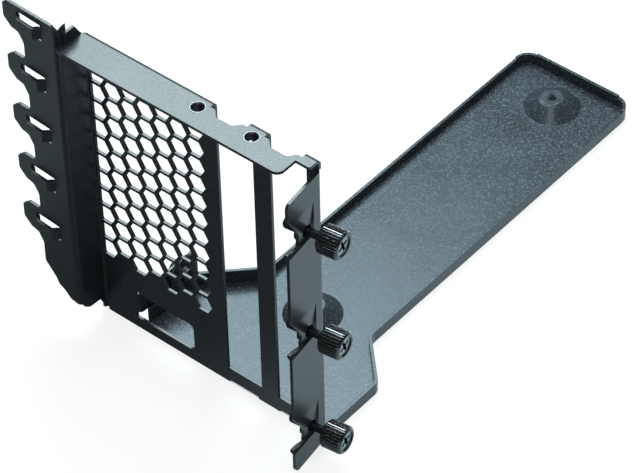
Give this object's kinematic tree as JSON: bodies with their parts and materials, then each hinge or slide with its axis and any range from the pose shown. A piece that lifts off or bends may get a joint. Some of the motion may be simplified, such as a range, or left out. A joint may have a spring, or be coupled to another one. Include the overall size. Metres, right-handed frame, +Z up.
{
  "type": "vertical graphics card mount",
  "caption": "Folded sheet steel bracket with case hooks, vented panel and card openings, a lipped tray behind it and captive knurled thumbscrews.",
  "frame": {"origin": "on the tray's underside, in the middle of its wide base, 20 mm behind the panel's front face", "axes": "+X to the right along the panel seen from the front, +Y back along the tray, +Z up"},
  "size_m": [0.1258, 0.1953, 0.1233],
  "materials": {
    "bracket_paint": "satin black powder coat",
    "tray_paint": "satin black powder coat",
    "nut_steel": "blackened steel",
    "screw_steel": "dark plated steel",
    "knob_black": "gloss black",
    "ring_steel": "dark plated steel"
  },
  "bodies": {
    "mount_frame": {"bracket": "bracket_paint", "tray": "tray_paint", "shelf_nut_left": "nut_steel", "shelf_nut_right": "nut_steel", "ear_screw": "screw_steel", "ear_nut": "screw_steel"},
    "ring_low": {"captive_ring_low": "ring_steel"},
    "ring_mid": {"captive_ring_mid": "ring_steel"},
    "ring_top": {"captive_ring_top": "ring_steel"},
    "screw_low": {"thumb_screw_low": "screw_steel", "thumb_knob_low": "knob_black"},
    "screw_mid": {"thumb_screw_mid": "screw_steel", "thumb_knob_mid": "knob_black"},
    "screw_top": {"thumb_screw_top": "screw_steel", "thumb_knob_top": "knob_black"}
  },
  "joints": [
    {"name": "thumbscrew_slide_low", "type": "slide", "parent": "mount_frame", "child": "ring_low", "axis": [-0.9912, -0.1323, 0], "range_m": [0, 0.004]},
    {"name": "thumbscrew_turn_low", "type": "hinge", "parent": "ring_low", "child": "screw_low", "pos_m": [0.03832, -0.02615, 0.0113], "axis": [0.9912, 0.1323, 0], "continuous": true},
    {"name": "thumbscrew_slide_mid", "type": "slide", "parent": "mount_frame", "child": "ring_mid", "axis": [-0.9912, -0.1323, 0], "range_m": [0, 0.004]},
    {"name": "thumbscrew_turn_mid", "type": "hinge", "parent": "ring_mid", "child": "screw_mid", "pos_m": [0.03832, -0.02615, 0.05194], "axis": [0.9912, 0.1323, 0], "continuous": true},
    {"name": "thumbscrew_slide_top", "type": "slide", "parent": "mount_frame", "child": "ring_top", "axis": [-0.9912, -0.1323, 0], "range_m": [0, 0.004]},
    {"name": "thumbscrew_turn_top", "type": "hinge", "parent": "ring_top", "child": "screw_top", "pos_m": [0.03832, -0.02615, 0.09258], "axis": [0.9912, 0.1323, 0], "continuous": true}
  ]
}
